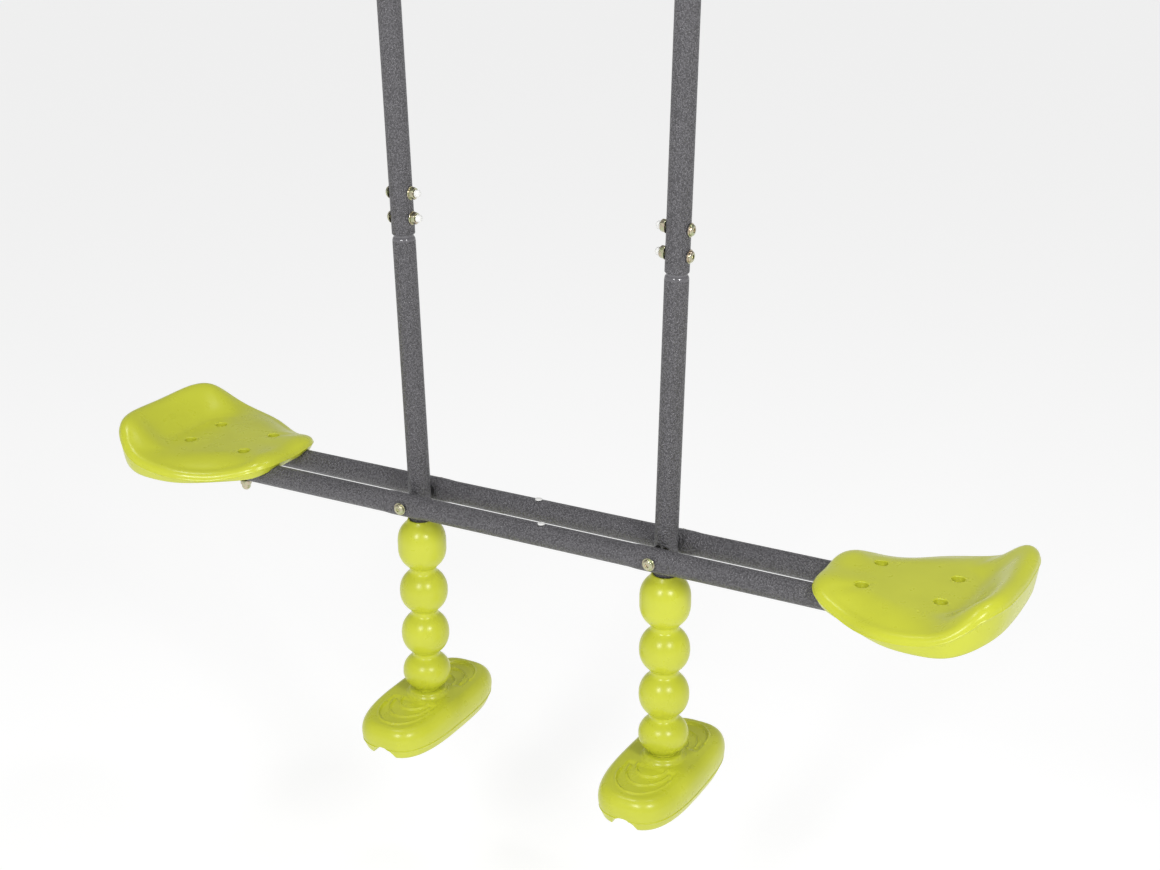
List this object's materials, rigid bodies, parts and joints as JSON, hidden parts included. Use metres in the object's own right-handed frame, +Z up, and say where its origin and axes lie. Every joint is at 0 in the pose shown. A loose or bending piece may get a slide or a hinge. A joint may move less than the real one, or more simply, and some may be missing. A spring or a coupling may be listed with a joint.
{
  "type": "glider swing",
  "caption": "Face-to-face glider swing for a play frame: hanging tubes, twin rails with moulded seats, and footrests on beaded columns.",
  "frame": {"origin": "midway between the two hanger brackets, in the plane of their top faces, which is the underside of the beam", "axes": "+X along the rails towards the right seat, +Y to the back, +Z up"},
  "size_m": [1.1964, 0.233, 1.6215],
  "materials": {
    "grey_paint": "dark grey fine-textured powder coat",
    "lime_plastic": "lime green blow-moulded polyethylene, soft gloss",
    "yellow_zinc": "yellow-passivated zinc plate",
    "black_plastic": "black moulded nylon",
    "white_plastic": "white moulded plugs"
  },
  "bodies": {
    "brackets": {"hanger_bracket_left": "grey_paint", "hanger_bracket_right": "grey_paint", "top_pivot_bolt_left": "yellow_zinc", "top_pivot_bolt_right": "yellow_zinc", "top_pivot_nut_left": "yellow_zinc", "top_pivot_nut_right": "yellow_zinc"},
    "left_hanger": {"bead_column_left": "lime_plastic", "foot_screw_left": "yellow_zinc", "footrest_left": "lime_plastic", "lower_tube_left": "grey_paint", "splice_bolt_left_1": "yellow_zinc", "splice_bolt_left_2": "yellow_zinc", "splice_nut_left_1": "yellow_zinc", "splice_nut_left_2": "yellow_zinc", "top_bush_left": "black_plastic", "upper_tube_left": "grey_paint"},
    "right_hanger": {"bead_column_right": "lime_plastic", "foot_screw_right": "yellow_zinc", "footrest_right": "lime_plastic", "lower_tube_right": "grey_paint", "splice_bolt_right_1": "yellow_zinc", "splice_bolt_right_2": "yellow_zinc", "splice_nut_right_1": "yellow_zinc", "splice_nut_right_2": "yellow_zinc", "top_bush_right": "black_plastic", "upper_tube_right": "grey_paint"},
    "rails": {"pivot_bolt_left": "yellow_zinc", "pivot_bolt_right": "yellow_zinc", "pivot_nut_left": "yellow_zinc", "pivot_nut_right": "yellow_zinc", "pivot_spacer_back_left": "black_plastic", "pivot_spacer_back_right": "black_plastic", "pivot_spacer_front_left": "black_plastic", "pivot_spacer_front_right": "black_plastic", "rail_back": "grey_paint", "rail_cap_back_left": "black_plastic", "rail_cap_back_right": "black_plastic", "rail_cap_front_left": "black_plastic", "rail_cap_front_right": "black_plastic", "rail_front": "grey_paint", "rail_plug_back": "white_plastic", "rail_plug_front": "white_plastic", "seat_bolt_left_1": "yellow_zinc", "seat_bolt_left_2": "yellow_zinc", "seat_bolt_left_3": "yellow_zinc", "seat_bolt_left_4": "yellow_zinc", "seat_bolt_right_1": "yellow_zinc", "seat_bolt_right_2": "yellow_zinc", "seat_bolt_right_3": "yellow_zinc", "seat_bolt_right_4": "yellow_zinc", "seat_left": "lime_plastic", "seat_nut_left_1": "yellow_zinc", "seat_nut_left_2": "yellow_zinc", "seat_nut_left_3": "yellow_zinc", "seat_nut_left_4": "yellow_zinc", "seat_nut_right_1": "yellow_zinc", "seat_nut_right_2": "yellow_zinc", "seat_nut_right_3": "yellow_zinc", "seat_nut_right_4": "yellow_zinc", "seat_right": "lime_plastic"}
  },
  "joints": [
    {"name": "left_hanger_swing", "type": "hinge", "parent": "brackets", "child": "left_hanger", "pos_m": [-0.20528, 0, -0.048], "axis": [0, 1, 0], "range_deg": [-25, 25]},
    {"name": "right_hanger_swing", "type": "hinge", "parent": "brackets", "child": "right_hanger", "pos_m": [0.20528, 0, -0.048], "axis": [0, 1, 0], "range_deg": [-25, 25]},
    {"name": "rail_pivot", "type": "hinge", "parent": "left_hanger", "child": "rails", "pos_m": [-0.1725, 0, -1.3], "axis": [0, 1, 0], "range_deg": [-30, 30]}
  ],
  "couplings": [
    {"joint": "right_hanger_swing", "follows": "left_hanger_swing", "ratio": 1},
    {"joint": "rail_pivot", "follows": "left_hanger_swing", "ratio": -1.179}
  ]
}
